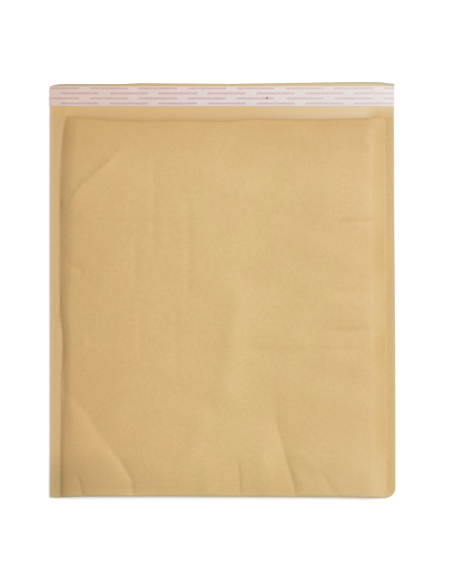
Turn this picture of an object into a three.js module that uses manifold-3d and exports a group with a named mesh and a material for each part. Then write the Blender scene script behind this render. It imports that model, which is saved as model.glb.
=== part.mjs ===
// Padded kraft envelope with a peel-and-seal flap, lying empty on its back.
// Millimetres, +Z up, +Y towards the flap. The origin is under the middle of the envelope, on the surface it lies on.
import * as THREE from "three";
import { mergeVertices } from "three/addons/utils/BufferGeometryUtils.js";
import Module from "manifold-3d";

// Outline, seen from above.
const width = 240;
const pocketDepth = 263; // bottom fold to mouth
const flapLength = 26; // mouth to the free end of the flap
const leftSeal = 7; // the two walls welded together down each side
const rightSeal = 5.5;
const foldCrease = 1; // paper pinched solid along the bottom fold
const bottomCornerRadius = 7; // only the right-hand bottom corner is cut round
const flapCornerRun = 7; // the flap's free corners are nipped off at a low angle
const flapCornerDrop = 1.7;

// Layers, through the thickness.
const paper = 0.3; // kraft sheet with its laminated film
const bubbleFilm = 3; // lining of bubble film, with its bubbles to the pocket
const pressedFilm = 0.8; // the same film where it is pressed flat along the mouth
const seatGap = 0.2; // clearance between pieces that are stuck together
const gape = 5.6; // height of the empty pocket where it stands open most
const mouthGape = 7.4; // the same at the mouth, between the pressed films
const sealHeight = 2.2; // weld line above the surface

// How the walls leave the weld line and the fold.
const wallRun = 11; // distance over which the bubbles reach their full height
const crownPower = 5; // how soon the pocket opens to its full height
const crownRun = 110; // distance from the fold over which the pocket opens
const filmInset = 1.5; // edge of the bubble film, in from the weld line
const pocketInset = 3; // edge of the open pocket, in from the weld line

// How the mouth closes in.
const mouthPress = 8; // band along the mouth where the bubbles are pressed flat
const mouthNarrowing = 5.5; // each end of the mouth, drawn in
const mouthBow = 1.2; // middle of the mouth, drawn back
const mouthDraw = 48; // distance over which the mouth draws in
const mouthDrawPower = 3; // how much of that happens close to the mouth

// Closing strip on the flap.
const stripWidth = 14;
const stripSetback = 2.8; // from the free end of the flap
const stripThickness = 0.3;
const glueWidth = 10;
const glueThickness = 0.3;
const glueEndMargin = 2; // bare kraft at each end of the glue line
const flapSettle = 0.8; // share of its side lift that the flap loses by its free end

// Facets: steps over the short climb, and over the long crown behind it.
const climbSteps = 6;
const crownSteps = 5;
const pressSteps = 4;
const drawSteps = 4;
const cornerSegments = 8;

// Places that follow from the sizes above.
const halfWidth = width / 2;
const foldY = -(pocketDepth + flapLength) / 2;
const creaseY = foldY + foldCrease;
const mouthY = foldY + pocketDepth;
const flapEndY = mouthY + flapLength;
const stripTopY = flapEndY - stripSetback;
const stripBottomY = stripTopY - stripWidth;
const glueTopY = stripTopY - (stripWidth - glueWidth) / 2;
const glueBottomY = glueTopY - glueWidth;
const weldLeft = leftSeal - halfWidth;
const weldRight = halfWidth - rightSeal;
const chamberMiddle = (weldLeft + weldRight) / 2;
const chamberHalf = (weldRight - weldLeft) / 2;
const backDrop = sealHeight - paper; // the back wall comes down onto the surface

const wasm = await Module();
wasm.setup();
const { clamp, smoothstep, lerp } = THREE.MathUtils;

// Two rises from 0 to 1: a quarter wave, and a barrel that fills out sooner and flattens for longer.
const quarterWave = (share) => Math.sin((Math.PI / 2) * clamp(share, 0, 1));
const barrel = (share) => 1 - (1 - clamp(share, 0, 1)) ** crownPower;

// Distances in from the nearer weld line, up from the fold and down from the mouth.
const fromSeal = (x) => Math.min(x - weldLeft, weldRight - x);
const fromFold = (y) => y - creaseY;
const fromMouth = (y) => mouthY - y;

// How far the bubbles stand up: not at all at the weld line and the fold.
const standing = (x, y) => quarterWave(fromSeal(x) / wallRun) * quarterWave(fromFold(y) / wallRun);

// How far the bubbles have recovered from the press along the mouth.
const unpressed = (y) => quarterWave(fromMouth(y) / mouthPress);

// Height of the open pocket, whose edge lies a given inset from the weld line and the fold.
function opened(x, y, inset) {
  const across = barrel((fromSeal(x) - inset) / (chamberHalf - inset));
  const along = barrel((fromFold(y) - inset) / crownRun);
  return lerp(mouthGape, gape, unpressed(y)) * across * along;
}

// One wall's lining with its clearance.
const lining = (y) => seatGap + lerp(pressedFilm, bubbleFilm, unpressed(y));

// Inner faces of the kraft cover.
const coverFloor = (x, y) => sealHeight - backDrop * standing(x, y);
const chamberHeight = (x, y) => 2 * lining(y) * standing(x, y) + opened(x, y, 0);
const coverCeiling = (x, y) => coverFloor(x, y) + chamberHeight(x, y);

// Inner faces of the bubble lining. The pocket lies midway between the cover's walls.
const wallShare = (x, y) => (chamberHeight(x, y) - opened(x, y, pocketInset)) / 2;
const pocketFloor = (x, y) => coverFloor(x, y) + wallShare(x, y);
const pocketCeiling = (x, y) => coverCeiling(x, y) - wallShare(x, y);

// Underside of the flap: the back wall's own height at the mouth, settling towards the free end.
function flapUnderside(x, y) {
  const settled = flapSettle * clamp(-fromMouth(y) / flapLength, 0, 1);
  return (coverFloor(x, Math.min(y, mouthY)) - paper) * (1 - settled);
}

// The mouth draws in: its ends move towards each other and its middle towards the fold.
function drawnIn(x, y) {
  const near = clamp(1 - fromMouth(y) / mouthDraw, 0, 1) ** mouthDrawPower;
  const reach = (x - chamberMiddle) / chamberHalf;
  const edge = reach < 0 ? (x + halfWidth) / leftSeal : (halfWidth - x) / rightSeal;
  const pull = Math.min(Math.abs(reach), edge);
  const bow = (1 - Math.min(reach ** 2, 1)) * (1 - smoothstep(y, mouthY, stripBottomY));
  return [x - Math.sign(reach) * mouthNarrowing * pull * near, y - mouthBow * bow * near];
}

const steps = (count, from, to) => Array.from({ length: count + 1 }, (_, i) => lerp(from, to, i / count));

// Ascending, with lines that fall on each other kept once.
function sortedLines(lines) {
  const sorted = lines.sort((a, b) => a - b);
  return sorted.filter((line, i) => i === 0 || line - sorted[i - 1] > 0.01);
}

// Distances in from a weld line or the fold: even over the climb, then wider and wider.
function insetLines(span) {
  const climb = steps(climbSteps, 0, wallRun);
  const crown = steps(crownSteps, 0, 1).map((share) => lerp(wallRun, span, share ** 2));
  return sortedLines([...climb, ...crown, filmInset, pocketInset]);
}

const across = sortedLines([
  ...insetLines(chamberHalf).flatMap((inset) => [weldLeft + inset, weldRight - inset]),
  ...[halfWidth - glueEndMargin, halfWidth].flatMap((x) => [-x, x]),
]);
const along = sortedLines([
  foldY,
  ...insetLines(crownRun + pocketInset).map((inset) => creaseY + inset),
  ...steps(drawSteps, mouthY - mouthDraw, mouthY - mouthPress),
  ...steps(pressSteps, mouthY - mouthPress, mouthY),
]);
const flapLines = [mouthY, stripBottomY, glueBottomY, glueTopY, stripTopY, flapEndY];

const between = (lines, low, high) => lines.filter((line) => line > low - 0.01 && line < high + 0.01);
const acrossChamber = (inset) => between(across, weldLeft + inset, weldRight - inset);
const alongChamber = (inset) => between(along, creaseY + inset, mouthY);

// A closed solid between two height fields over a grid, which ends in an edge where they meet on its rim.
function slab(xs, ys, upper, lower) {
  const points = [upper, lower].flatMap((height) =>
    ys.flatMap((y) => xs.flatMap((x) => [...drawnIn(x, y), height(x, y)])),
  );
  const faces = [];
  const quad = (a, b, c, d) => faces.push(a, b, c, a, c, d);
  const layer = xs.length * ys.length;
  const [lastColumn, lastRow] = [xs.length - 1, ys.length - 1];
  const at = (column, row) => row * xs.length + column;
  const wall = (from, to) => quad(from + layer, to + layer, to, from);
  for (let row = 0; row < lastRow; row++) {
    for (let column = 0; column < lastColumn; column++) {
      const [a, b] = [at(column, row), at(column + 1, row)];
      const [c, d] = [at(column + 1, row + 1), at(column, row + 1)];
      quad(a, b, c, d);
      faces.push(c + layer, b + layer, a + layer, d + layer, c + layer, a + layer);
    }
    wall(at(lastColumn, row), at(lastColumn, row + 1));
    wall(at(0, row + 1), at(0, row));
  }
  for (let column = 0; column < lastColumn; column++) {
    wall(at(column, 0), at(column + 1, 0));
    wall(at(column + 1, lastRow), at(column, lastRow));
  }
  const geometry = new THREE.BufferGeometry();
  geometry.setAttribute("position", new THREE.Float32BufferAttribute(points, 3));
  geometry.setIndex(faces);
  return geometry;
}

// A closed three.js geometry as a solid that can be joined and cut.
function solidOf(geometry) {
  const bare = geometry.clone();
  bare.deleteAttribute("normal");
  bare.deleteAttribute("uv");
  const merged = mergeVertices(bare, 1e-4);
  return new wasm.Manifold(
    new wasm.Mesh({
      numProp: 3,
      vertProperties: merged.attributes.position.array,
      triVerts: new Uint32Array(merged.index.array),
    }),
  );
}

function geometryOf(solid) {
  const mesh = solid.getMesh();
  const geometry = new THREE.BufferGeometry();
  geometry.setAttribute("position", new THREE.BufferAttribute(mesh.vertProperties, 3));
  geometry.setIndex(new THREE.BufferAttribute(mesh.triVerts, 1));
  geometry.computeVertexNormals();
  return geometry;
}

// The sheet's cut outline, as a block that reaches well above and below the envelope.
function outlineBlock() {
  const outline = new THREE.Shape();
  const [arcX, arcY] = [halfWidth - bottomCornerRadius, foldY + bottomCornerRadius];
  outline.moveTo(-halfWidth, foldY);
  outline.lineTo(arcX, foldY);
  outline.absarc(arcX, arcY, bottomCornerRadius, -Math.PI / 2, 0, false);
  outline.lineTo(halfWidth, flapEndY - flapCornerDrop);
  outline.lineTo(halfWidth - flapCornerRun, flapEndY);
  outline.lineTo(flapCornerRun - halfWidth, flapEndY);
  outline.lineTo(-halfWidth, flapEndY - flapCornerDrop);
  const reach = 2 * (sealHeight + 2 * bubbleFilm + gape);
  const options = { depth: 2 * reach, bevelEnabled: false, curveSegments: cornerSegments };
  return new THREE.ExtrudeGeometry(outline, options).translate(0, 0, -reach);
}

// One kraft sheet, folded up at the bottom and welded down both sides. Its back wall runs on as the flap.
function kraftCover() {
  const front = (x, y) => coverCeiling(x, y) + paper;
  const back = (x, y) => coverFloor(x, y) - paper;
  const walls = slab(across, along, front, back);
  const chamber = slab(acrossChamber(0), [...alongChamber(0), flapEndY], coverCeiling, coverFloor);
  const rootY = along.at(-2);
  const flapUpper = (x, y) => flapUnderside(x, y) + paper;
  const flap = slab(across, [rootY, ...flapLines], flapUpper, flapUnderside);
  const sheet = solidOf(walls).subtract(solidOf(chamber)).add(solidOf(flap));
  return geometryOf(sheet.intersect(solidOf(outlineBlock())));
}

// One web of bubble film, folded with the cover and stuck to the inside of both its walls.
function bubbleLiner() {
  const upper = (x, y) => coverCeiling(x, y) - seatGap;
  const lower = (x, y) => coverFloor(x, y) + seatGap;
  const body = slab(acrossChamber(filmInset), alongChamber(filmInset), upper, lower);
  const pocketLines = [...alongChamber(pocketInset), flapEndY];
  const pocket = slab(acrossChamber(pocketInset), pocketLines, pocketCeiling, pocketFloor);
  return geometryOf(solidOf(body).subtract(solidOf(pocket)));
}

// A band that follows the flap's upper face at a given clearance, placed from the mouth.
function flapBand(halfLength, bottomY, topY, clearance, thickness) {
  const lower = (x, y) => flapUnderside(x, y) + paper + clearance;
  const upper = (x, y) => lower(x, y) + thickness;
  const xs = between(across, -halfLength, halfLength);
  const ys = between(flapLines, bottomY, topY);
  return slab(xs, ys, upper, lower).translate(0, -mouthY, 0);
}

// Hot-melt line on the flap.
const adhesiveStrip = () =>
  flapBand(halfWidth - glueEndMargin, glueBottomY, glueTopY, seatGap, glueThickness);

// Silicone-coated strip that covers the hot melt until the envelope is closed.
const releaseStrip = () =>
  flapBand(halfWidth, stripBottomY, stripTopY, 2 * seatGap + glueThickness, stripThickness);

function piece(name, geometry, color, roughness) {
  const material = new THREE.MeshStandardMaterial({ color, roughness, metalness: 0 });
  const mesh = new THREE.Mesh(geometry, material);
  mesh.name = name;
  return mesh;
}

const envelope = new THREE.Group();
envelope.add(piece("kraft_cover", kraftCover(), "#d5b47d", 0.85));
envelope.add(piece("bubble_liner", bubbleLiner(), "#e4e8e8", 0.25));

const flapFittings = new THREE.Group();
flapFittings.position.y = mouthY;
flapFittings.add(piece("adhesive_strip", adhesiveStrip(), "#e6dfc6", 0.4));
flapFittings.add(piece("release_strip", releaseStrip(), "#e3d4ce", 0.5));
envelope.add(flapFittings);

export default envelope;
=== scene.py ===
# Padded kraft envelope, lying empty on its back with its flap open.
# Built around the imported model, in metres, with +Z up and +Y towards the flap. The envelope's own sizes are
# written in millimetres.
import math

import bpy
import numpy as np
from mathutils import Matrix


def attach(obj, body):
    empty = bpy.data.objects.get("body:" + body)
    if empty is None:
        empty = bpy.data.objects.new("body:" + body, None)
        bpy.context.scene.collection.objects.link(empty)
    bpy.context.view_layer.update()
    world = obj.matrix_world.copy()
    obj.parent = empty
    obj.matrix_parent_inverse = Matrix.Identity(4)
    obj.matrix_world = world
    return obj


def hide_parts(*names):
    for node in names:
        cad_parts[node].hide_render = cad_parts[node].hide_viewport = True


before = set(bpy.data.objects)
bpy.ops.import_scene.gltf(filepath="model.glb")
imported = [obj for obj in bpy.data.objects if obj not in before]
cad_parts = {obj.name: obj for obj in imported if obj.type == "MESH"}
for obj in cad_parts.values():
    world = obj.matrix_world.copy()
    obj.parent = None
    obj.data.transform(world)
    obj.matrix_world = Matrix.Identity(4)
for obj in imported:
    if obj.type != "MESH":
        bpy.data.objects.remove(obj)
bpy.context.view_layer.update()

# Kraft cover
# One sheet of brown kraft paper with a thin film laminated to its inside. It is folded up at the bottom,
# welded flat down both sides and pressed along the mouth, and its back wall runs on past that as the flap.
MM = 0.001
half_width = 120.0
fold_y, mouth_y, flap_end_y = -144.5, 118.5, 144.5
fold_pinch = 0.25  # paper pinched flat along the bottom fold
crease_y = fold_y + fold_pinch
chamber_half = 113.75  # half of the width between the side seams
bottom_corner_radius = 7.0

sheet_thickness = 0.2
modelled_thickness = 0.95 * sheet_thickness  # under the fold's radius, so that the fold doesn't close up
cad_sheet = 0.3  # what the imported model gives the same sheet
seat_gap = 0.2  # what it leaves between the paper and the film that is stuck to it
bubble_film, pressed_film = 3.0, 0.8  # the lining, and the same film where the mouth is pressed
gape, mouth_gape = 5.0, 1.8  # how far the empty pocket stands open, inside and at the mouth
seal_height = 2.2  # the side seams, above the table
right_run, fold_run = 11.0, 1.8  # how soon the wall stands up behind the right seam and the fold
fold_rise, fold_rise_run, under_fold_run = 2.6, 14.0, 6.5  # the round fold's own line, above the welded edges
left_droop, droop_run = 0.6, 8.0  # how far the edge beside the left seam hangs down, and over what width
flap_run = 60.0  # how soon the back wall stands up at the mouth, where it flattens out into the flap
flatten_run = 50.0  # how far back from the mouth that begins
across_power = 4  # how soon the pocket opens, in from the seams
fold_crown_run, fold_crown_power = 34.0, 2  # how soon it opens, up from the fold
mouth_press = 16.0  # the band along the mouth where the bubbles are pressed flat
mouth_sink = 60.0  # how far back from the mouth the front wall starts to come down
mouth_make_up = 0.35  # share of the pressed film's missing height that the gape makes up for
mouth_lift = 1.5  # how far the edges at the mouth are lifted
lift_run, lip_blend, landing_run = 25.0, 1.0, 13.0  # how far before, at and past the mouth the lift runs
flap_settle = 0.8  # share of its height that the flap has lost by its free end
seam_hold, fold_hold = 2.5, 2.0  # how far in from the seams and the fold the walls can't wrinkle
fold_reach, mouth_reach, flap_end_reach = 30.0, 25.0, 12.0  # how far into the sheet its uneven lines are felt
left_edge_reach, right_edge_reach = 6.0, 45.0  # the same for its uneven sides

# Lines of the real sheet that aren't quite straight, as (place along the line, distance off its axis).
left_edge_points = [(-144, -120.0), (-110, -119.6), (110, -119.6), (144, -120.0)]
left_seam_points = [
    (-144, -112.3), (-66, -112.3), (-50, -111.4), (-40, -110.8), (-26, -111.6), (-18, -112.9),
    (64, -112.9), (88, -112.5), (105, -111.1), (116, -109.4), (121, -106.8),
]
# How soon the wall stands up behind the left seam, and how rounded it is there. Near the fold it starts up
# steeply.
left_run_points = [(-144, 24.0), (-116, 20.0), (-92, 10.0), (-60, 7.0), (-10, 7.0), (15, 10.5), (144, 10.5)]
left_power_points = [(-144, 0.42), (-112, 0.5), (-84, 1.0), (144, 1.0)]
right_seam_points = [(-144, 113.4), (-60, 113.0), (20, 112.6), (90, 112.2), (121, 111.6)]
right_edge_points = [
    (-144, 120.0), (-110, 120.0), (-42, 119.8), (10, 119.5), (60, 119.1), (122, 118.9), (144, 119.4),
]
fold_points = [
    (-120, -144.0), (-116, -144.5), (-106, -143.9), (-98, -143.5), (-43, -143.4), (81, -143.9), (109, -144.5),
]
mouth_points = [
    (-120, 120.4), (-107, 120.4), (-82, 118.2), (-57, 116.8), (-30, 117.7), (2, 116.8), (19, 118.6),
    (64, 118.0), (104, 119.2), (120, 119.6),
]
flap_end_points = [
    (-120, 141.3), (-117, 142.4), (-112, 143.0), (-71, 143.1), (-57, 143.7), (5, 143.2), (54, 144.0),
    (95, 144.5), (109, 144.3), (120, 143.0),
]


def measured(points, blend):
    """A function that follows measured points, rounded off over the blend."""
    step = 0.25
    places, values = np.array(points, float).T
    fine = np.arange(places[0] - blend, places[-1] + blend, step)
    reach = int(blend / step / 2)
    window = np.hanning(2 * reach + 3)[1:-1]
    padded = np.pad(np.interp(fine, places, values), reach, mode="edge")
    smooth = np.convolve(padded, window / window.sum(), mode="valid")
    return lambda place: np.interp(place, fine, smooth)


left_edge = measured(left_edge_points, blend=20)
left_seam = measured(left_seam_points, blend=10)
left_run = measured(left_run_points, blend=20)
left_power = measured(left_power_points, blend=20)
right_seam = measured(right_seam_points, blend=14)
right_edge = measured(right_edge_points, blend=16)
fold_line = measured(fold_points, blend=5)
mouth_line = measured(mouth_points, blend=14)
flap_end_line = measured(flap_end_points, blend=3)


def smoothstep(value, low, high):
    share = np.clip((value - low) / (high - low), 0, 1)
    return share * share * (3 - 2 * share)


def quarter_wave(share):
    return np.sin(np.pi / 2 * np.clip(share, 0, 1))


def rounded(share):
    """A quarter of an ellipse."""
    return np.sqrt(1 - (1 - np.clip(share, 0, 1)) ** 2)


def barrel(share, power):
    return 1 - (1 - np.clip(share, 0, 1)) ** power


def from_seam(x, y):
    return np.minimum(x - left_seam(y), right_seam(y) - x)


def standing(x, y, flattening=0.0):
    """How far the bubbles under a wall stand up: not at all at the seams and the fold."""
    left_climb = left_run(y) + (flap_run - left_run(y)) * flattening
    right_climb = right_run + (flap_run - right_run) * flattening
    left_side = quarter_wave((x - left_seam(y)) / left_climb) ** left_power(y)
    right_side = quarter_wave((right_seam(y) - x) / right_climb)
    return np.minimum(left_side, right_side) * rounded((y - crease_y) / fold_run)


def unpressed(y):
    return quarter_wave((mouth_y - y) / mouth_press)


def lining(y):
    return seat_gap + pressed_film + (bubble_film - pressed_film) * unpressed(y)


def opened(x, y):
    """Height of the open pocket."""
    across = barrel(from_seam(x, y) / chamber_half, across_power)
    along = barrel((y - crease_y) / fold_crown_run, fold_crown_power)
    inwards = smoothstep(mouth_y - y, 0, mouth_sink)
    pressed_room = 2 * (bubble_film - pressed_film) * (1 - unpressed(y)) * mouth_make_up
    return (mouth_gape + (gape - mouth_gape) * inwards + pressed_room) * across * along


# Folds of the front wall, each as its height, its width on the left and on the right of its run, the length
# over which it fades in and out, and its run. One with a height below zero is a valley. Sharp ones come to an
# edge, and soft ones are waves.
sharp_creases = [
    (1.9, 2.0, 9.0, 30, [
        (-130, 56), (-113, 60.5), (-105, 62.5), (-101, 67.8), (-96.6, 73.4), (-85, 83.1), (-64, 104),
    ]),
    (-1.3, 14.0, 5.0, 8, [
        (-121, -62), (-102.7, -76.5), (-95.5, -84.1), (-84.4, -102.2), (-70.1, -118.8), (-62.9, -132),
        (-61, -152),
    ]),
    (-0.85, 1.3, 7.0, 12, [(-76, -112), (-70.1, -118.8), (-62.9, -132), (-61, -152)]),
    (-1.08, 1.6, 4.0, 6, [(-101.5, -126), (-98.4, -135.5), (-96.5, -152)]),
    (-1.0, 1.1, 8.0, 16, [(9.5, -110), (11.9, -127.2), (12.4, -152)]),
    (-1.7, 8.0, 13.0, 26, [(35, -66), (36.6, -90), (43.3, -114.7), (49.7, -136.2), (51.5, -152)]),
    (-0.85, 1.1, 6.0, 16, [(42, -110), (49.7, -136.2), (51.5, -152)]),
    (0.36, 2.0, 3.0, 6, [(44, -112), (54.4, -114.7), (65.5, -125.1), (72, -131)]),
    (-0.85, 1.2, 4.0, 5, [(66, -123), (72.8, -132.7), (83, -152)]),
    (-0.48, 1.6, 5.0, 10, [(76, 46.5), (96, 47.8), (111, 48.2)]),
    (-0.42, 1.6, 5.0, 10, [(74, -1.5), (109, -2.2)]),
    (-0.54, 1.6, 5.0, 10, [(70, -27.5), (109, -29)]),
    (-0.42, 1.2, 4.0, 12, [(12, -40), (40, -42), (99, -41)]),
    (-0.6, 1.4, 2.0, 4, [(98, 106.4), (114, 100.6)]),
    (1.32, 1.5, 3.0, 5, [(-118, -42.4), (-102.5, -41.8), (-92, -34)]),
    (-0.36, 0.9, 1.6, 12, [(-103, -138.4), (-20, -138.8)]),
]
soft_waves = [
    (1.02, 9.0, 7.0, 20, [(12.5, 8), (6.8, -22.4), (5.8, -41.8), (-3.5, -90)]),
    (0.5, 3.5, 4.0, 5, [(50, -124), (53.5, -132), (58, -140)]),
    (-0.34, 2.4, 2.4, 18, [(-23.6, 68), (-24, -12)]),
    (-0.29, 2.4, 2.4, 18, [(-32, -2), (-33, -66)]),
    (-0.34, 2.4, 2.4, 18, [(-47.3, 95), (-48, 18)]),
    (-0.24, 2.2, 2.2, 10, [(-60, 42), (-60.5, -6)]),
    (-0.24, 2.2, 2.2, 10, [(-57.4, -12), (-57, -48)]),
    (-0.24, 2.0, 3.0, 16, [(-92, 46), (-60, 47.5), (-28, 47)]),
    (-0.84, 3.0, 3.0, 3, [(-110, 18), (-104, 16.6), (-95, 12)]),
    (0.96, 6.0, 6.0, 12, [(-12, -112), (-10, -152)]),
    (0.84, 7.0, 7.0, 12, [(27, -108), (30, -152)]),
    (0.72, 7.0, 7.0, 12, [(-42, -116), (-40, -152)]),
    (0.6, 6.0, 7.0, 14, [(-9, -78), (-20, -107), (-28, -134), (-29, -150)]),
]


def relief(x, y, folds, power):
    """Height that a list of folds adds at each point. The power sets how rounded they are."""
    total = np.zeros_like(x)
    for height, left_width, right_width, fade, run in folds:
        nearest = np.full_like(x, np.inf)
        side = np.zeros_like(x)
        reached = np.zeros_like(x)
        done = 0.0
        for (ax, ay), (bx, by) in zip(run, run[1:]):
            dx, dy = bx - ax, by - ay
            length = math.hypot(dx, dy)
            along = np.clip(((x - ax) * dx + (y - ay) * dy) / length**2, 0, 1)
            off_x = x - ax - along * dx
            off_y = y - ay - along * dy
            distance = np.hypot(off_x, off_y)
            closer = distance < nearest
            nearest = np.where(closer, distance, nearest)
            side = np.where(closer, dx * off_y - dy * off_x, side)
            reached = np.where(closer, done + along * length, reached)
            done += length
        width = np.where(side > 0, left_width, right_width)
        ends = smoothstep(np.minimum(reached, done - reached), 0, fade)
        total += height * np.exp(-((nearest / width) ** power)) * ends
    return total


def undulation(x, y, seed, count, amplitude, shortest, longest):
    """Slow waves of a sheet that isn't quite flat."""
    dice = np.random.default_rng(seed)
    total = np.zeros_like(x)
    for _ in range(count):
        heading, phase = dice.uniform(0, 2 * np.pi, 2)
        wavelength = dice.uniform(shortest, longest)
        place = (x * np.cos(heading) + y * np.sin(heading)) / wavelength
        total += amplitude * np.sin(2 * np.pi * place + phase)
    return total


def free_share(x, y):
    """How free a wall is to wrinkle: not at all along the seams and the fold."""
    return smoothstep(from_seam(x, y), 0, seam_hold) * smoothstep(y - crease_y, 0, fold_hold)


def fold_height(x, y, run):
    """How far a wall is lifted by the rounded fold: to half the pocket's height along the fold itself."""
    return fold_rise * quarter_wave(from_seam(x, y) / fold_rise_run) * (1 - rounded((y - crease_y) / run))


def droop(x, y):
    """How far the welded edge on the left hangs below its seam."""
    return left_droop * smoothstep(left_seam(y) - x, 0, droop_run)


def sheet_reach(standing_share):
    """How far a wall's outer face stands off the inside of the cover."""
    return sheet_thickness + (cad_sheet - sheet_thickness) * standing_share


def inside_floor(standing_share):
    return seal_height - (seal_height - cad_sheet) * standing_share


def lip_share(y):
    """How near the mouth a wall is: 0 well back from it, 1 at its edge."""
    return smoothstep(y, mouth_y - lift_run, mouth_y + lip_blend)


def back_outside(x, y):
    """Underside of the back wall and, past the mouth, of the flap."""
    wall_y = np.minimum(y, mouth_y)
    share = standing(x, wall_y, smoothstep(y, mouth_y - flatten_run, mouth_y))
    settled = flap_settle * np.clip((y - mouth_y) / (flap_end_y - mouth_y), 0, 1)
    lift = mouth_lift * lip_share(y) * (1 - smoothstep(y, mouth_y - lip_blend, mouth_y + landing_run))
    level = inside_floor(share) - droop(x, wall_y) - sheet_reach(share)
    return level * (1 - settled) + lift * share + fold_height(x, y, under_fold_run)


def front_outside(x, y):
    """Upper face of the front wall."""
    share = standing(x, y)
    chamber = 2 * lining(y) * share + opened(x, y)
    lift = mouth_lift * share * lip_share(y)
    wrinkles = relief(x, y, sharp_creases, power=1.0) + relief(x, y, soft_waves, power=2.0)
    wrinkles += undulation(x, y, seed=11, count=16, amplitude=0.05, shortest=22, longest=80)
    level = inside_floor(share) - droop(x, y) + sheet_reach(share)
    return level + chamber + lift + fold_height(x, y, fold_run) + wrinkles * free_share(x, y)


def laid_y(x, y, on_front):
    """Where a point of the straight-cut sheet lies, as its fold, mouth and flap end aren't quite straight."""
    fold_shift = (fold_line(x) - fold_y) * (1 - smoothstep(y, fold_y, fold_y + fold_reach))
    flap_shift = (flap_end_line(x) - flap_end_y) * smoothstep(y, flap_end_y - flap_end_reach, flap_end_y)
    mouth_shift = (mouth_line(x) - mouth_y) * smoothstep(y, mouth_y - mouth_reach, mouth_y) * on_front
    return y + fold_shift + flap_shift * (1 - on_front) + mouth_shift


def spaced(runs):
    """Lines over runs of (start, end, spacing), each run's end being the next one's start."""
    lines = [runs[0][0]]
    for start, end, spacing in runs:
        count = max(1, round(abs(end - start) / spacing))
        lines.extend(np.linspace(start, end, count + 1)[1:])
    return np.array(lines)


def new_grid(name, columns, rows):
    """A flat grid with its vertices numbered by column and row, as (object, column of each, row of each)."""
    bpy.ops.object.select_all(action="DESELECT")
    bpy.ops.mesh.primitive_grid_add(x_subdivisions=columns, y_subdivisions=rows, size=2)
    made = bpy.context.object
    made.name = made.data.name = name
    places = np.zeros(len(made.data.vertices) * 3)
    made.data.vertices.foreach_get("co", places)
    x, y, _ = places.reshape(-1, 3).T
    column = np.rint((x + 1) / 2 * columns).astype(int)
    row = np.rint((1 - y) / 2 * rows).astype(int)
    return made, column, row


def place_vertices(piece, x, y, z):
    """Moves a piece's vertices to places given in millimetres."""
    places = np.stack([x, y, z], axis=1) * MM
    piece.data.vertices.foreach_set("co", places.ravel())
    piece.data.update()


def thicken(piece, thickness):
    """Gives a sheet its thickness, inwards from the face that is modelled."""
    solid = piece.modifiers.new("thickness", "SOLIDIFY")
    solid.thickness = thickness * MM
    solid.offset = -1
    bpy.context.view_layer.objects.active = piece
    bpy.ops.object.modifier_apply(modifier=solid.name)


def smooth_faces(piece, degrees):
    bpy.ops.object.select_all(action="DESELECT")
    piece.select_set(True)
    bpy.context.view_layer.objects.active = piece
    bpy.ops.object.shade_smooth_by_angle(angle=math.radians(degrees))


# The sheet unfolded: its rows run from the mouth down the front wall, round the fold, up the back wall and
# out to the end of the flap. They are closest where the paper bends most.
cover_columns = spaced([
    (-half_width, -113, 1.4), (-113, -97, 0.8), (-97, -74, 1.3), (-74, -58, 0.9), (-58, 5, 2.0), (5, 15, 0.8),
    (15, 37, 2.0), (37, 53, 0.8), (53, 97, 1.9), (97, 115, 1.0), (115, half_width, 1.4),
])
fold_radius = sheet_thickness
front_rows = spaced([
    (mouth_y, mouth_y - 3, 0.6), (mouth_y - 3, mouth_y - 12, 1.1), (mouth_y - 12, 98, 2.0), (98, 58, 1.4),
    (58, 50, 2.0), (50, 42, 1.0), (42, -60, 1.9), (-60, -130, 1.6),
    (-130, -141.5, 0.95), (-141.5, fold_y + fold_radius, 0.35),
])
fold_turns = np.linspace(0, np.pi, 7)[1:-1]  # how far round the fold each of its rows lies
back_rows = spaced([
    (fold_y + fold_radius, -141.5, 0.5), (-141.5, -136, 1.1), (-136, 90, 9.0), (90, mouth_y, 2.2),
    (mouth_y, flap_end_y, 1.6),
])
fold_rows = fold_y + fold_radius * (1 - np.sin(fold_turns))
row_y = np.concatenate([front_rows, fold_rows, back_rows])
row_front_share = np.concatenate([
    np.ones(len(front_rows)), (1 + np.cos(fold_turns)) / 2, np.zeros(len(back_rows)),
])

kraft_cover, column, row = new_grid("cover_sheet", len(cover_columns) - 1, len(row_y) - 1)
flat_x, flat_y, on_front = cover_columns[column], row_y[row], row_front_share[row]
corner_rise = np.clip(bottom_corner_radius - (flat_y - fold_y), 0, bottom_corner_radius)
corner_cut = bottom_corner_radius - np.sqrt(bottom_corner_radius**2 - corner_rise**2)
right_edge_share = smoothstep(flat_x, half_width - right_edge_reach, half_width)
left_edge_share = smoothstep(-flat_x, half_width - left_edge_reach, half_width)
x = flat_x + (right_edge(flat_y) - half_width - corner_cut) * right_edge_share
x += (left_edge(flat_y) + half_width) * left_edge_share
height_y = np.maximum(flat_y, crease_y)
z_back = back_outside(x, height_y)
z_front = front_outside(x, height_y)
place_vertices(kraft_cover, x, laid_y(x, flat_y, on_front), z_back + (z_front - z_back) * on_front)


def fading(distance, width):
    """A mark that is full along its own line and fades with the distance from it."""
    return np.exp(-((distance / width) ** 2))


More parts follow.
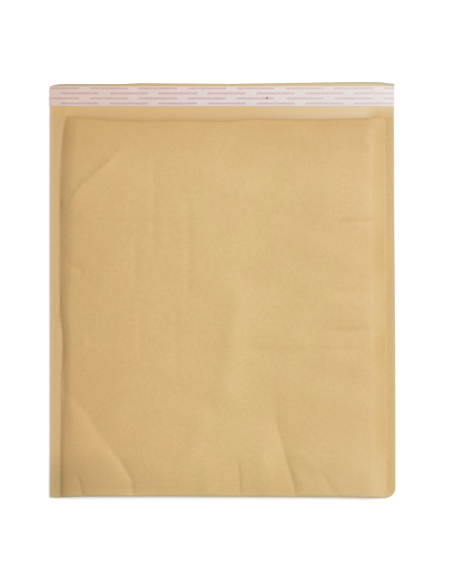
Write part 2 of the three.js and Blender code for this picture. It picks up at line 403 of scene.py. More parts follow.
# Darkening: along the left seam, whose wall faces away from the softbox, partly heat from the sealing bars
# and partly painted shade, with more painted shade near the fold; in a wide band below the mouth; and along
# the mouth a thin painted shadow of its gap, weaker on the welds.
seam_heat_and_shade, seam_shade_by_fold, seam_darkening_width = 0.25, 0.5, 3.0
seam_darkening_edge, by_fold_y = -0.6, -92.0  # how far outside the seam it starts, and up to where it is stronger
mouth_darkening, mouth_darkening_width = 0.42, 24.0
lip_shadow, lip_shadow_loss, lip_shadow_width = 0.7, 0.8, 1.1
weld_start_x, weld_full_x = 98.0, 108.0
is_front_wall = row < len(front_rows)
seam_inset = x - left_seam(height_y)
by_fold = 1 - smoothstep(flat_y, fold_y, by_fold_y)
# Along the left seam: partly heat, partly painted shade, with more painted shade near the fold.
heat_and_shade = (seam_heat_and_shade + seam_shade_by_fold * by_fold) * fading(np.maximum(seam_inset, 0), seam_darkening_width)
heat_and_shade *= (seam_inset > seam_darkening_edge) & (flat_y <= mouth_y)
from_lip = mouth_y - flat_y
welded = smoothstep(np.abs(x), weld_start_x, weld_full_x)
# A thin painted shadow of the gap along the mouth, weaker on the welds.
lip_shadow_line = lip_shadow * (1 - lip_shadow_loss * welded) * fading(from_lip, lip_shadow_width)
# Darker in a wide band below the mouth.
heat_and_shade += is_front_wall * (mouth_darkening * fading(from_lip, mouth_darkening_width) + lip_shadow_line)

# The inner face. On the flap it is paler towards the right, where a sheen of the softbox is painted on.
# Beside the mouth the welds have cleared it.
weld_mark = 14.0  # how far the welds' mark runs out on to the flap
inner_face = 1 - welded * (1 - smoothstep(flat_y, mouth_y, mouth_y + weld_mark))

# Painted shade at the edges: darker and greyer along the end of the flap, most of all at its corners, and a
# little so along the sides and the fold.
flap_end_shade, flap_corner_shade, flap_end_shade_width = 0.45, 0.55, 1.4
side_shade, side_shade_width = 0.2, 1.8
fold_shade, fold_mark_width = 0.14, 2.2
from_flap_end = np.where(is_front_wall, np.inf, flap_end_y - flat_y)
from_side = np.minimum(flat_x + half_width, half_width - flat_x)
on_fold = fading(flat_y - fold_y, fold_mark_width)
end_and_corner_shade = flap_end_shade + flap_corner_shade * np.abs(x / half_width) ** 2
# Painted shade along the flap's end, strongest at its corners.
edge_shade = fading(from_flap_end, flap_end_shade_width) * end_and_corner_shade
edge_shade = np.maximum(edge_shade, side_shade * fading(from_side, side_shade_width) + fold_shade * on_fold)

# Paler paper: rubbed on the left weld and along the sides; painted sheen in patches along the bulge beside
# the right seam, which faces the softbox, and at the lower right; and a painted highlight on the fold.
bulge_sheen, bulge_inset, bulge_width = 0.2, 3.5, 10.0
low_right_sheen, low_right_sheen_x, low_right_sheen_y = 0.2, (40.0, 110.0), (-130.0, -90.0)
sheen_edge = 0.6
weld_rub, weld_rub_run = 0.14, 1.0
side_rub, side_rub_width, fold_highlight = 0.3, 1.5, 0.28
right_inset = right_seam(height_y) - x
patches = undulation(x * 0, flat_y, seed=3, count=5, amplitude=0.2, shortest=14, longest=60)
patchy_share = np.clip(0.5 + patches, 0, 1)
# Painted sheen where the bulge beside the right seam and the lower right face the softbox.
rubbed_and_sheen = bulge_sheen * is_front_wall * patchy_share * fading(right_inset - bulge_inset, bulge_width)
rubbed_and_sheen += low_right_sheen * is_front_wall * smoothstep(x, *low_right_sheen_x) * (1 - smoothstep(flat_y, *low_right_sheen_y))
rubbed_and_sheen *= smoothstep(right_inset, -sheen_edge, sheen_edge)
rubbed_and_sheen += weld_rub * is_front_wall * smoothstep(-seam_inset, 0, weld_rub_run)
# Rubbed along the sides, and a painted highlight on the fold.
rubbed_and_sheen += side_rub * fading(from_side, side_rub_width) + fold_highlight * on_fold

# Painted shade in the lower left corner, the one furthest from the softbox.
corner_shade_depth, corner_shade_width, corner_shade_y = 0.32, 42.0, (-134.0, -106.0)
painted_corner_shade = corner_shade_depth * fading(x + half_width, corner_shade_width) * (1 - smoothstep(flat_y, *corner_shade_y))

# Thickening copies every vertex to the inner face, in the same order after the outer face's own.
thicken(kraft_cover, modelled_thickness)
smooth_faces(kraft_cover, degrees=40)
outer_values = {
    "heat_and_shade": heat_and_shade,
    "edge_shade": edge_shade,
    "rubbed_and_sheen": rubbed_and_sheen,
    "painted_corner_shade": painted_corner_shade,
    "inner_face": np.zeros_like(inner_face),
}
for name, outer in outer_values.items():
    inner = inner_face if name == "inner_face" else outer
    layer = kraft_cover.data.attributes.new(name, "FLOAT", "POINT")
    layer.data.foreach_set("value", np.concatenate([outer, inner]))


def linear(hex_colour):
    """An sRGB hex colour as a linear RGBA value."""
    channels = [int(hex_colour[i : i + 2], 16) / 255 for i in (1, 3, 5)]
    return [c / 12.92 if c <= 0.04045 else ((c + 0.055) / 1.055) ** 2.4 for c in channels] + [1.0]


def new_material(name):
    """An empty material, as (material, its node tree)."""
    made = bpy.data.materials.new(name)
    made.use_nodes = True
    made.node_tree.nodes.clear()
    return made, made.node_tree


def add_node(tree, kind, inputs=None, **settings):
    """Adds a node. Each input is given by name or number, as a value or as another node's output."""
    made = tree.nodes.new(kind)
    for name, value in settings.items():
        setattr(made, name, value)
    for name, value in (inputs or {}).items():
        if isinstance(value, bpy.types.NodeSocket):
            tree.links.new(value, made.inputs[name])
        else:
            made.inputs[name].default_value = value
    return made


# Machine-glazed brown kraft: a matt sheet with a faint sheen, cloudy where its fibres lie closer, with a
# grain of fibres about two millimetres long. Heat and painted shade make it darker and browner, rubbing and
# painted sheen paler, and painted shade duller and greyer in a corner and along its edges. Its inner face is
# glossier, and paler towards the right, where a sheen of the softbox is painted on.
cloud_size, fibre_length, grain_size = 22 * MM, 2.1 * MM, 0.7 * MM
left_zone, right_zone = (-110 * MM, 0.0), (10 * MM, 110 * MM)  # where its colour changes across the sheet
# How far the full darkening browns the paper: partly heat, partly painted shade.
darkening_depth = 0.6  # how far full heat browns the paper
kraft, tree = new_material("machine_glazed_kraft_paper")
mix_colour = {"data_type": "RGBA"}
place = add_node(tree, "ShaderNodeTexCoord").outputs["Object"]
clouds = add_node(tree, "ShaderNodeTexNoise", {"Vector": place, "Scale": 1 / cloud_size, "Detail": 2.0})
fibres = add_node(tree, "ShaderNodeTexNoise", {"Vector": place, "Scale": 1 / fibre_length, "Detail": 2.0})
grain = add_node(tree, "ShaderNodeTexNoise", {"Vector": place, "Scale": 1 / grain_size, "Detail": 2.0})
cloudy = add_node(tree, "ShaderNodeMapRange", {
    "Value": clouds.outputs["Fac"], "From Min": 0.3, "From Max": 0.7,
})
fibrous = add_node(tree, "ShaderNodeMapRange", {
    "Value": fibres.outputs["Fac"], "From Min": 0.3, "From Max": 0.7,
})
axes = add_node(tree, "ShaderNodeSeparateXYZ", {0: place})
left_share = add_node(tree, "ShaderNodeMapRange", {
    "Value": axes.outputs["X"], "From Min": left_zone[0], "From Max": left_zone[1],
})
right_share = add_node(tree, "ShaderNodeMapRange", {
    "Value": axes.outputs["X"], "From Min": right_zone[0], "From Max": right_zone[1],
})
cloudy_left = add_node(tree, "ShaderNodeMix", {
    0: cloudy.outputs[0], 6: linear("#d7ae72"), 7: linear("#d6b174"),
}, **mix_colour)
cloudy_middle = add_node(tree, "ShaderNodeMix", {
    0: cloudy.outputs[0], 6: linear("#dab77c"), 7: linear("#d9ba7d"),
}, **mix_colour)
cloudy_right = add_node(tree, "ShaderNodeMix", {
    0: cloudy.outputs[0], 6: linear("#d3af73"), 7: linear("#d3b275"),
}, **mix_colour)
left_colour = add_node(tree, "ShaderNodeMix", {
    0: left_share.outputs[0], 6: cloudy_left.outputs[2], 7: cloudy_middle.outputs[2],
}, **mix_colour)
sheet_colour = add_node(tree, "ShaderNodeMix", {
    0: right_share.outputs[0], 6: left_colour.outputs[2], 7: cloudy_right.outputs[2],
}, **mix_colour)
fibre_colour = add_node(tree, "ShaderNodeMix", {
    0: fibrous.outputs[0], 6: linear("#f7f6f3"), 7: linear("#ffffff"),
}, **mix_colour)
grained = add_node(tree, "ShaderNodeMix", {
    0: 1.0, 6: sheet_colour.outputs[2], 7: fibre_colour.outputs[2],
}, blend_type="MULTIPLY", **mix_colour)
inner_share = add_node(tree, "ShaderNodeAttribute", attribute_name="inner_face").outputs["Fac"]
inner_left = add_node(tree, "ShaderNodeMix", {
    0: left_share.outputs[0], 6: linear("#d4ab70"), 7: linear("#dab67e"),
}, **mix_colour)
# Paler towards the right: a painted sheen of the softbox.
inner_colour = add_node(tree, "ShaderNodeMix", {
    0: right_share.outputs[0], 6: inner_left.outputs[2], 7: linear("#dec7a0"),
}, **mix_colour)
faced = add_node(tree, "ShaderNodeMix", {
    0: inner_share, 6: grained.outputs[2], 7: inner_colour.outputs[2],
}, **mix_colour)
# Darker and browner: heat, and painted shade along the left seam and at the mouth.
heat_and_shade_share = add_node(tree, "ShaderNodeAttribute", attribute_name="heat_and_shade").outputs["Fac"]
darkening_share = add_node(tree, "ShaderNodeMath", {0: heat_and_shade_share, 1: darkening_depth}, operation="MULTIPLY")
darkened = add_node(tree, "ShaderNodeMix", {
    0: darkening_share.outputs[0], 6: faced.outputs[2], 7: linear("#bd8a48"),
}, **mix_colour)
# Paler: rubbing, and painted sheen and highlight.
rubbed_and_sheen_share = add_node(tree, "ShaderNodeAttribute", attribute_name="rubbed_and_sheen").outputs["Fac"]
paled = add_node(tree, "ShaderNodeMix", {
    0: rubbed_and_sheen_share, 6: darkened.outputs[2], 7: linear("#e4d2aa"),
}, **mix_colour)
# Painted shade in the lower left corner.
corner_shade_share = add_node(tree, "ShaderNodeAttribute", attribute_name="painted_corner_shade").outputs["Fac"]
corner_shaded = add_node(tree, "ShaderNodeMix", {
    0: corner_shade_share, 6: paled.outputs[2], 7: linear("#8a7346"),
}, **mix_colour)
# Painted shade along the edges.
edge_share = add_node(tree, "ShaderNodeAttribute", attribute_name="edge_shade").outputs["Fac"]
edged = add_node(tree, "ShaderNodeMix", {
    0: edge_share, 6: corner_shaded.outputs[2], 7: linear("#9c9a7c"),
}, **mix_colour)
gloss = add_node(tree, "ShaderNodeMapRange", {"Value": inner_share, "To Min": 0.5, "To Max": 0.45})
fibre_bump = add_node(tree, "ShaderNodeBump", {
    "Strength": 0.12, "Distance": 0.05 * MM, "Height": grain.outputs["Fac"],
})
surface = add_node(tree, "ShaderNodeBsdfPrincipled", {
    "Base Color": edged.outputs[2],
    "Roughness": gloss.outputs[0],
    "Normal": fibre_bump.outputs[0],
    "IOR": 1.5,
})
add_node(tree, "ShaderNodeOutputMaterial", {"Surface": surface.outputs[0]})
kraft_cover.data.materials.append(kraft)

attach(kraft_cover, "root")
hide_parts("kraft_cover")

# Bubble lining
# One web of clear polyethylene bubble film, folded with the paper and stuck inside both walls, flat side out,
# so that its bubbles face the pocket. A hot bar has pressed them flat along the mouth.
film_thickness = 0.1
film_gap = 0.05  # between the paper and the film that is stuck to it
film_inset = 1.5  # from the seams to the film's edges
film_top_y, film_bottom_y = mouth_y - 3.0, -142.0
film_fold_radius = 0.6
crease_slack = 0.5  # share of a sharp crease that the film bridges
bubble_pitch, bubble_radius = 10.5, 4.7
bubble_row_pitch = bubble_pitch * math.sqrt(3) / 2
bubbles_across, bubble_row_pairs = 22, 15
first_bubble_x, first_bubble_rise = -110.5, 7.5  # its place across, and how far up it is from the film's fold
pressed_bubble, bubble_puff = 0.12, 0.88  # how full one is at the mouth, and how much fuller away from it
least_bubble = 0.15  # height of the flattest ones
dome_segments, dome_rings = 10, 8


def film_front(x, y):
    """The film bridges the sharpest creases, so it lies a little lower there."""
    slack = crease_slack * np.abs(relief(x, y, sharp_creases, power=1.0)) * free_share(x, y)
    return front_outside(x, y) - modelled_thickness - film_gap - slack


def film_back(x, y):
    return back_outside(x, y) + modelled_thickness + film_gap


film_columns = spaced([(-1, -0.86, 0.02), (-0.86, 0.86, 0.025), (0.86, 1, 0.02)])  # shares of the half width
film_front_rows = spaced([
    (film_top_y, mouth_y - 12, 1.2), (mouth_y - 12, -130, 3.0), (-130, film_bottom_y, 1.5),
])
film_fold_rows = film_bottom_y - film_fold_radius * np.sin(fold_turns)
film_back_rows = film_front_rows[::-1]
film_row_y = np.concatenate([film_front_rows, film_fold_rows, film_back_rows])
film_row_share = np.concatenate([
    np.ones(len(film_front_rows)), (1 + np.cos(fold_turns)) / 2, np.zeros(len(film_back_rows)),
])
lining_web, column, row = new_grid("bubble_lining", len(film_columns) - 1, len(film_row_y) - 1)
y, on_front = film_row_y[row], film_row_share[row]
left, right = left_seam(y) + film_inset, right_seam(y) - film_inset
x = (left + right) / 2 + (right - left) / 2 * film_columns[column]
z_back = film_back(x, y)
place_vertices(lining_web, x, laid_y(x, y, on_front), z_back + (film_front(x, y) - z_back) * on_front)
thicken(lining_web, film_thickness)


def bubble_field(name, wall, towards_pocket):
    """One wall's bubbles: a dome, repeated in staggered rows and laid on the wall's film."""
    bpy.ops.object.select_all(action="DESELECT")
    bpy.ops.mesh.primitive_uv_sphere_add(
        segments=dome_segments, ring_count=dome_rings, radius=bubble_radius * MM,
    )
    field = bpy.context.object
    field.name = field.data.name = name
    bpy.ops.object.mode_set(mode="EDIT")
    bpy.ops.mesh.select_all(action="SELECT")
    bpy.ops.mesh.bisect(plane_co=(0, 0, 0), plane_no=(0, 0, 1), clear_inner=True, threshold=1e-6)
    bpy.ops.object.mode_set(mode="OBJECT")
    dome_size = len(field.data.vertices)
    for count, offset in (
        (2, (bubble_pitch / 2, bubble_row_pitch)),
        (bubbles_across, (bubble_pitch, 0)),
        (bubble_row_pairs, (0, 2 * bubble_row_pitch)),
    ):
        repeat = field.modifiers.new("repeat", "ARRAY")
        repeat.count = count
        repeat.use_relative_offset = False
        repeat.use_constant_offset = True
        repeat.constant_offset_displace = (offset[0] * MM, offset[1] * MM, 0)
        bpy.ops.object.modifier_apply(modifier=repeat.name)

    places = np.zeros(len(field.data.vertices) * 3)
    field.data.vertices.foreach_get("co", places)
    x, y, z = (places.reshape(-1, 3) / MM).T
    x, y = x + first_bubble_x, y + film_bottom_y + first_bubble_rise
    centre_x = np.repeat(x.reshape(-1, dome_size).mean(axis=1), dome_size)
    centre_y = np.repeat(y.reshape(-1, dome_size).mean(axis=1), dome_size)
    full = bubble_film * standing(centre_x, centre_y) * (pressed_bubble + bubble_puff * unpressed(centre_y))
    rise = film_thickness + np.maximum(full - 2 * film_thickness, least_bubble) * (z / bubble_radius)
    place_vertices(field, x, laid_y(x, y, towards_pocket < 0), wall(x, y) + towards_pocket * rise)

    past_seam = from_seam(centre_x, centre_y) < film_inset + bubble_radius
    past_mouth = centre_y > film_top_y - bubble_radius
    past_fold = centre_y < film_bottom_y + bubble_radius
    field.data.vertices.foreach_set("select", past_seam | past_mouth | past_fold)
    bpy.ops.object.mode_set(mode="EDIT")
    bpy.ops.mesh.delete(type="VERT")
    bpy.ops.mesh.select_all(action="SELECT")
    if towards_pocket < 0:
        bpy.ops.mesh.flip_normals()
    bpy.ops.object.mode_set(mode="OBJECT")
    return field


front_bubbles = bubble_field("front_bubbles", film_front, -1)
back_bubbles = bubble_field("back_bubbles", film_back, 1)
bpy.ops.object.select_all(action="DESELECT")
for part in (front_bubbles, back_bubbles, lining_web):
    part.select_set(True)
bpy.context.view_layer.objects.active = lining_web
bpy.ops.object.join()
smooth_faces(lining_web, degrees=50)

# Low-density polyethylene film: thin, clear with a milky haze, and glossy, with a slightly uneven blown
# surface whose waves are about six millimetres long.
film, tree = new_material("clear_polyethylene_bubble_film")
haze_size = 6 * MM
place = add_node(tree, "ShaderNodeTexCoord").outputs["Object"]
haze = add_node(tree, "ShaderNodeTexNoise", {"Vector": place, "Scale": 1 / haze_size, "Detail": 2.0})
film_colour = add_node(tree, "ShaderNodeMix", {
    0: haze.outputs["Fac"], 6: linear("#f1efea"), 7: linear("#fbfaf7"),
}, **mix_colour)
film_gloss = add_node(tree, "ShaderNodeMapRange", {
    "Value": haze.outputs["Fac"], "To Min": 0.16, "To Max": 0.3,
})
film_bump = add_node(tree, "ShaderNodeBump", {
    "Strength": 0.2, "Distance": 0.2 * MM, "Height": haze.outputs["Fac"],
})
surface = add_node(tree, "ShaderNodeBsdfPrincipled", {
    "Base Color": film_colour.outputs[2],
    "Roughness": film_gloss.outputs[0],
    "Normal": film_bump.outputs[0],
    "IOR": 1.51,
    "Alpha": 0.45,
})
add_node(tree, "ShaderNodeOutputMaterial", {"Surface": surface.outputs[0]})
lining_web.data.materials.append(film)

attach(lining_web, "root")
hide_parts("bubble_liner")

# Adhesive strip
# A line of pressure-sensitive hot melt, laid on the flap in one pass. It is pale and tacky, wanders a little
# and rounds off at its edges and ends.
glue_width, glue_thickness, glue_skin = 10.0, 0.3, 0.1
glue_end_margin = 2.0
glue_half_length = half_width - glue_end_margin
glue_edge_run, glue_end_run = 0.9, 3.0  # the runs over which the bead rounds off
glue_edge_share = 0.25  # share of its thickness that the bead keeps at its edges
glue_edge_band = 1.0  # the band along each edge where its rows are closest
glue_end_step = 0.5  # how far its rounding would run on past its ends
glue_gap = 0.05
strip_width, strip_top_y = 14.0, 141.5
strip_middle_y = strip_top_y - strip_width / 2


def flap_upper(x, y):
    return back_outside(x, y) + modelled_thickness


def crowned(distance, half, rounding):
    """A flat profile that rounds off to nothing over its last stretch."""
    return np.sqrt(1 - (1 - np.clip((half - np.abs(distance)) / rounding, 0, 1)) ** 2)


glue_half = glue_width / 2
glue_middle = glue_half - glue_edge_band
glue_columns = spaced([(-glue_half_length, glue_half_length, 2.0)])
glue_rows = spaced([
    (glue_half, glue_middle, 0.25), (glue_middle, -glue_middle, 1.0), (-glue_middle, -glue_half, 0.25),
])
adhesive, column, row = new_grid("adhesive_line", len(glue_columns) - 1, len(glue_rows) - 1)
x, off_axis = glue_columns[column] * right_edge(strip_middle_y) / half_width, glue_rows[row]
wander = undulation(x, off_axis * 0, seed=5, count=4, amplitude=0.12, shortest=30, longest=90)
y = strip_middle_y + off_axis + wander
bead = crowned(off_axis, glue_half, glue_edge_run)
bead = bead * crowned(x, glue_half_length + glue_end_step, glue_end_run)
bead_share = glue_edge_share + (1 - glue_edge_share) * bead
place_vertices(adhesive, x, y, flap_upper(x, y) + glue_gap + glue_thickness * bead_share)
thicken(adhesive, glue_skin)
smooth_faces(adhesive, degrees=50)

# Styrenic hot melt, extruded: creamy, semi-gloss, with streaks along the line about half a millimetre apart.
hot_melt, tree = new_material("extruded_hot_melt_adhesive")
streak_spacing, streak_stretch = 0.5 * MM, 0.05
place = add_node(tree, "ShaderNodeTexCoord").outputs["Object"]
stretched = add_node(tree, "ShaderNodeMapping", {"Vector": place, "Scale": (streak_stretch, 1.0, 1.0)})
streaks = add_node(tree, "ShaderNodeTexNoise", {
    "Vector": stretched.outputs[0], "Scale": 1 / streak_spacing, "Detail": 2.0,
})
melt_colour = add_node(tree, "ShaderNodeMix", {
    0: streaks.outputs["Fac"], 6: linear("#e0d8bb"), 7: linear("#ebe5cf"),
}, **mix_colour)
melt_bump = add_node(tree, "ShaderNodeBump", {
    "Strength": 0.4, "Distance": 0.1 * MM, "Height": streaks.outputs["Fac"],
})
surface = add_node(tree, "ShaderNodeBsdfPrincipled", {
    "Base Color": melt_colour.outputs[2],
    "Roughness": 0.35,
    "Normal": melt_bump.outputs[0],
    "IOR": 1.52,
})
add_node(tree, "ShaderNodeOutputMaterial", {"Surface": surface.outputs[0]})
adhesive.data.materials.append(hot_melt)

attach(adhesive, "root")
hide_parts("adhesive_strip")

# Release strip
# A band of silicone-coated film that covers the hot melt until the envelope is closed. It runs across the
# whole flap, is wider than the glue so that it can be gripped, and is printed with rows of dull pink marks.
strip_thickness = 0.08
strip_gap, glue_rise = 0.1, 0.32  # above the flap at its edges, and how much higher it lies over the glue
glue_rim = 0.5  # how far inside the glue's edges the band starts to come down
strip_columns = spaced([(-half_width, half_width, 1.5)])
strip_rows = spaced([(strip_width / 2, -strip_width / 2, 0.7)])
release, column, row = new_grid("release_band", len(strip_columns) - 1, len(strip_rows) - 1)
x, off_axis = strip_columns[column], strip_rows[row]
x = x + (right_edge(strip_middle_y) - half_width) * (x + half_width) / (2 * half_width)
y = strip_middle_y + off_axis
over_glue = 1 - smoothstep(np.abs(off_axis), glue_half - glue_rim, strip_width / 2)
buckle = undulation(x, off_axis * 0, seed=7, count=5, amplitude=0.03, shortest=12, longest=45)
buckle = buckle * np.abs(off_axis) / strip_width
z = flap_upper(x, y) + strip_gap + glue_rise * over_glue + buckle
place_vertices(release, x, y, z + strip_thickness)
thicken(release, strip_thickness)
smooth_faces(release, degrees=50)

# Print: four rows of marks in blocks, with the blocks of every other row set two fifths of a period along.
row_pitch, mark_height = 3.5, 1.3
first_row_y = 140.0
block_period, block_length = 34.0, 26.5
odd_block_start, even_block_start = 9.8, 23.5
dash_period, dash_length = 1.6, 1.15
counting_lead = 10 * block_period  # added to every place, so that all of them count from above zero
spot_x, spot_y, spot_radius = 30.8, 133.4, 0.7  # the one red spot

# Siliconed film: pinkish white, smooth and semi-gloss, with a faint mottle. It is duller at the left, partly
# where the brown of the flap shows through and partly painted shade far from the softbox, and paler at the
# right. The ink is thin and a little patchy, and fades out to the right.
coated, tree = new_material("silicone_coated_release_film")
mottle_size, patch_size = 5 * MM, 1.2 * MM
thin_ink, patch_ink = 0.3, 0.7  # how well it covers where it is thinnest, and how much better in its patches
place = add_node(tree, "ShaderNodeTexCoord").outputs["Object"]
in_mm = add_node(tree, "ShaderNodeVectorMath", {0: place, 1: (1 / MM, 1 / MM, 1 / MM)}, operation="MULTIPLY")
axes = add_node(tree, "ShaderNodeSeparateXYZ", {0: in_mm.outputs[0]})
from_top = add_node(tree, "ShaderNodeMath", {
    0: first_row_y + mark_height / 2, 1: axes.outputs["Y"],
}, operation="SUBTRACT")
row_place = add_node(tree, "ShaderNodeMath", {0: from_top.outputs[0], 1: row_pitch}, operation="DIVIDE")
row_number = add_node(tree, "ShaderNodeMath", {0: row_place.outputs[0]}, operation="FLOOR")
row_share = add_node(tree, "ShaderNodeMath", {0: row_place.outputs[0]}, operation="FRACT")
in_row = add_node(tree, "ShaderNodeMath", {
    0: row_share.outputs[0], 1: mark_height / row_pitch,
}, operation="LESS_THAN")
is_even = add_node(tree, "ShaderNodeMath", {0: row_number.outputs[0], 1: 2.0}, operation="MODULO")
block_start = add_node(tree, "ShaderNodeMath", {
    0: is_even.outputs[0], 1: even_block_start - odd_block_start, 2: odd_block_start,
}, operation="MULTIPLY_ADD")
past_start = add_node(tree, "ShaderNodeMath", {
    0: axes.outputs["X"], 1: block_start.outputs[0],
}, operation="SUBTRACT")
counted = add_node(tree, "ShaderNodeMath", {0: past_start.outputs[0], 1: counting_lead}, operation="ADD")
block_place = add_node(tree, "ShaderNodeMath", {0: counted.outputs[0], 1: block_period}, operation="DIVIDE")
block_share = add_node(tree, "ShaderNodeMath", {0: block_place.outputs[0]}, operation="FRACT")
in_block = add_node(tree, "ShaderNodeMath", {
    0: block_share.outputs[0], 1: block_length / block_period,
}, operation="LESS_THAN")
dash_place = add_node(tree, "ShaderNodeMath", {0: counted.outputs[0], 1: dash_period}, operation="DIVIDE")
dash_share = add_node(tree, "ShaderNodeMath", {0: dash_place.outputs[0]}, operation="FRACT")
in_dash = add_node(tree, "ShaderNodeMath", {
    0: dash_share.outputs[0], 1: dash_length / dash_period,
}, operation="LESS_THAN")
dashed = add_node(tree, "ShaderNodeMath", {
    0: in_block.outputs[0], 1: in_dash.outputs[0],
}, operation="MULTIPLY")
marked = add_node(tree, "ShaderNodeMath", {0: in_row.outputs[0], 1: dashed.outputs[0]}, operation="MULTIPLY")
patchy = add_node(tree, "ShaderNodeTexNoise", {"Vector": place, "Scale": 1 / patch_size, "Detail": 1.0})
ink_strength = add_node(tree, "ShaderNodeMapRange", {
    "Value": axes.outputs["X"], "From Min": 0.0, "From Max": half_width, "To Min": 1.0, "To Max": 0.5,
})
patchy_ink = add_node(tree, "ShaderNodeMath", {
    0: patchy.outputs["Fac"], 1: patch_ink, 2: thin_ink,
}, operation="MULTIPLY_ADD")
ink_cover = add_node(tree, "ShaderNodeMath", {
    0: patchy_ink.outputs[0], 1: ink_strength.outputs[0],
}, operation="MULTIPLY")
ink = add_node(tree, "ShaderNodeMath", {0: marked.outputs[0], 1: ink_cover.outputs[0]}, operation="MULTIPLY")
spot_off = add_node(tree, "ShaderNodeVectorMath", {
    0: in_mm.outputs[0], 1: (spot_x, spot_y, 0),
}, operation="SUBTRACT")
spot_flat = add_node(tree, "ShaderNodeVectorMath", {
    0: spot_off.outputs[0], 1: (1, 1, 0),
}, operation="MULTIPLY")
spot_distance = add_node(tree, "ShaderNodeVectorMath", {0: spot_flat.outputs[0]}, operation="LENGTH")
in_spot = add_node(tree, "ShaderNodeMath", {
    0: spot_distance.outputs["Value"], 1: spot_radius,
}, operation="LESS_THAN")
mottle = add_node(tree, "ShaderNodeTexNoise", {"Vector": place, "Scale": 1 / mottle_size, "Detail": 2.0})
# Duller towards the left end: partly painted shade away from the softbox.
along_band = add_node(tree, "ShaderNodeMapRange", {
    "Value": axes.outputs["X"], "From Min": -half_width, "From Max": 0.0,
})
dull_colour = add_node(tree, "ShaderNodeMix", {
    0: mottle.outputs["Fac"], 6: linear("#d4bdb0"), 7: linear("#dac5b9"),
}, **mix_colour)
clear_colour = add_node(tree, "ShaderNodeMix", {
    0: mottle.outputs["Fac"], 6: linear("#dccfca"), 7: linear("#e3d7d3"),
}, **mix_colour)
pale_colour = add_node(tree, "ShaderNodeMix", {
    0: mottle.outputs["Fac"], 6: linear("#dfd8d6"), 7: linear("#e5dfdd"),
}, **mix_colour)
left_half = add_node(tree, "ShaderNodeMix", {
    0: along_band.outputs[0], 6: dull_colour.outputs[2], 7: clear_colour.outputs[2],
}, **mix_colour)
right_half = add_node(tree, "ShaderNodeMapRange", {
    "Value": axes.outputs["X"], "From Min": 0.0, "From Max": half_width,
})
band_colour = add_node(tree, "ShaderNodeMix", {
    0: right_half.outputs[0], 6: left_half.outputs[2], 7: pale_colour.outputs[2],
}, **mix_colour)
printed = add_node(tree, "ShaderNodeMix", {
    0: ink.outputs[0], 6: band_colour.outputs[2], 7: linear("#bf7f80"),
}, **mix_colour)
spotted = add_node(tree, "ShaderNodeMix", {
    0: in_spot.outputs[0], 6: printed.outputs[2], 7: linear("#a83a38"),
}, **mix_colour)
band_bump = add_node(tree, "ShaderNodeBump", {
    "Strength": 0.2, "Distance": 0.1 * MM, "Height": mottle.outputs["Fac"],
})
surface = add_node(tree, "ShaderNodeBsdfPrincipled", {
    "Base Color": spotted.outputs[2],
    "Roughness": 0.4,
    "Normal": band_bump.outputs[0],
    "IOR": 1.45,
})
add_node(tree, "ShaderNodeOutputMaterial", {"Surface": surface.outputs[0]})
release.data.materials.append(coated)

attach(release, "root")
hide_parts("release_strip")

# Floor
# A plain white table. To the camera it adds a little light of its own, so that it is white but keeps the
# shadow.
floor_half, floor_gap = 3.0, 0.05 * MM
floor_glow = 0.24
bpy.ops.object.select_all(action="DESELECT")
bpy.ops.mesh.primitive_plane_add(size=2 * floor_half, location=(0, 0, -floor_gap))
floor = bpy.context.object
floor.name = "floor"
white_floor, tree = new_material("white_table")
rays = add_node(tree, "ShaderNodeLightPath")
seen = add_node(tree, "ShaderNodeMath", {
    0: rays.outputs["Is Camera Ray"], 1: rays.outputs["Is Glossy Ray"],
}, operation="MAXIMUM")
seen_too = add_node(tree, "ShaderNodeMath", {
    0: seen.outputs[0], 1: rays.outputs["Is Transmission Ray"],
}, operation="MAXIMUM")
lift = add_node(tree, "ShaderNodeMath", {0: seen_too.outputs[0], 1: floor_glow}, operation="MULTIPLY")
own_light = add_node(tree, "ShaderNodeEmission", {"Color": linear("#ffffff"), "Strength": lift.outputs[0]})
matt_white = add_node(tree, "ShaderNodeBsdfDiffuse", {"Color": linear("#ededed")})
both = add_node(tree, "ShaderNodeAddShader", {0: own_light.outputs[0], 1: matt_white.outputs[0]})
add_node(tree, "ShaderNodeOutputMaterial", {"Surface": both.outputs[0]})
floor.data.materials.append(white_floor)

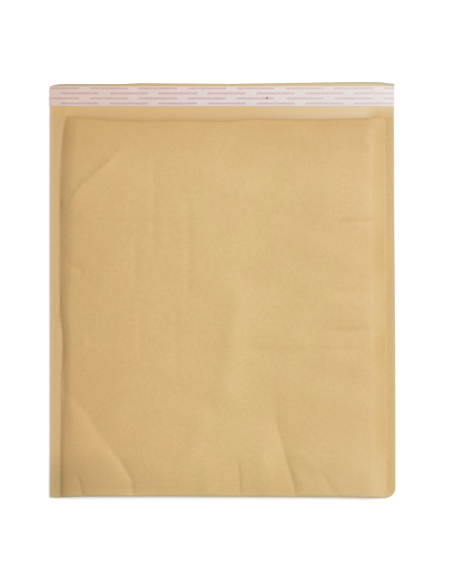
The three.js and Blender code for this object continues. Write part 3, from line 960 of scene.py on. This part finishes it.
# Light
# A large round softbox from the upper right and even light from all round, of about equal strength. To the
# camera the surroundings are plain white.
key_distance, key_elevation, key_azimuth = 3.2, math.radians(60), math.radians(26)
key_power, key_size = 57.0, 1.28
fill_strength = 0.53
bpy.ops.object.select_all(action="DESELECT")
bpy.ops.object.light_add(type="AREA", location=(
    key_distance * math.cos(key_elevation) * math.cos(key_azimuth),
    key_distance * math.cos(key_elevation) * math.sin(key_azimuth),
    key_distance * math.sin(key_elevation),
))
softbox = bpy.context.object
softbox.name = "softbox"
softbox.rotation_euler = softbox.location.to_track_quat("Z", "Y").to_euler()
softbox.data.shape = "DISK"
softbox.data.size = key_size
softbox.data.energy = key_power

world = bpy.data.worlds.new("even_light")
world.use_nodes = True
world.node_tree.nodes.clear()
tree = world.node_tree
rays = add_node(tree, "ShaderNodeLightPath")
seen = add_node(tree, "ShaderNodeMath", {
    0: rays.outputs["Is Camera Ray"], 1: rays.outputs["Is Transmission Ray"],
}, operation="MAXIMUM")
strength = add_node(tree, "ShaderNodeMapRange", {
    "Value": seen.outputs[0], "To Min": fill_strength, "To Max": 1.0,
})
backdrop = add_node(tree, "ShaderNodeBackground", {
    "Color": linear("#ffffff"), "Strength": strength.outputs[0],
})
add_node(tree, "ShaderNodeOutputWorld", {"Surface": backdrop.outputs[0]})
bpy.context.scene.world = world

# Camera
# Straight above the envelope, as the photograph was taken, with the frame's height taking in about 405 mm of
# the table.
camera_distance, frame_level = 1.6, 3.3 * MM  # from the level at which the frame is measured, and that level
camera_x, camera_y = 2.32 * MM, -1.56 * MM
frame_height_mm, sensor = 405.3, 36.0
camera_data = bpy.data.cameras.new("overhead")
camera = bpy.data.objects.new("overhead", camera_data)
bpy.context.scene.collection.objects.link(camera)
camera.location = (camera_x, camera_y, camera_distance + frame_level)
camera_data.sensor_fit = "VERTICAL"
camera_data.sensor_height = sensor
camera_data.lens = sensor * camera_distance / (frame_height_mm * MM)
bpy.context.scene.camera = camera
bpy.context.scene.view_settings.view_transform = "Standard"
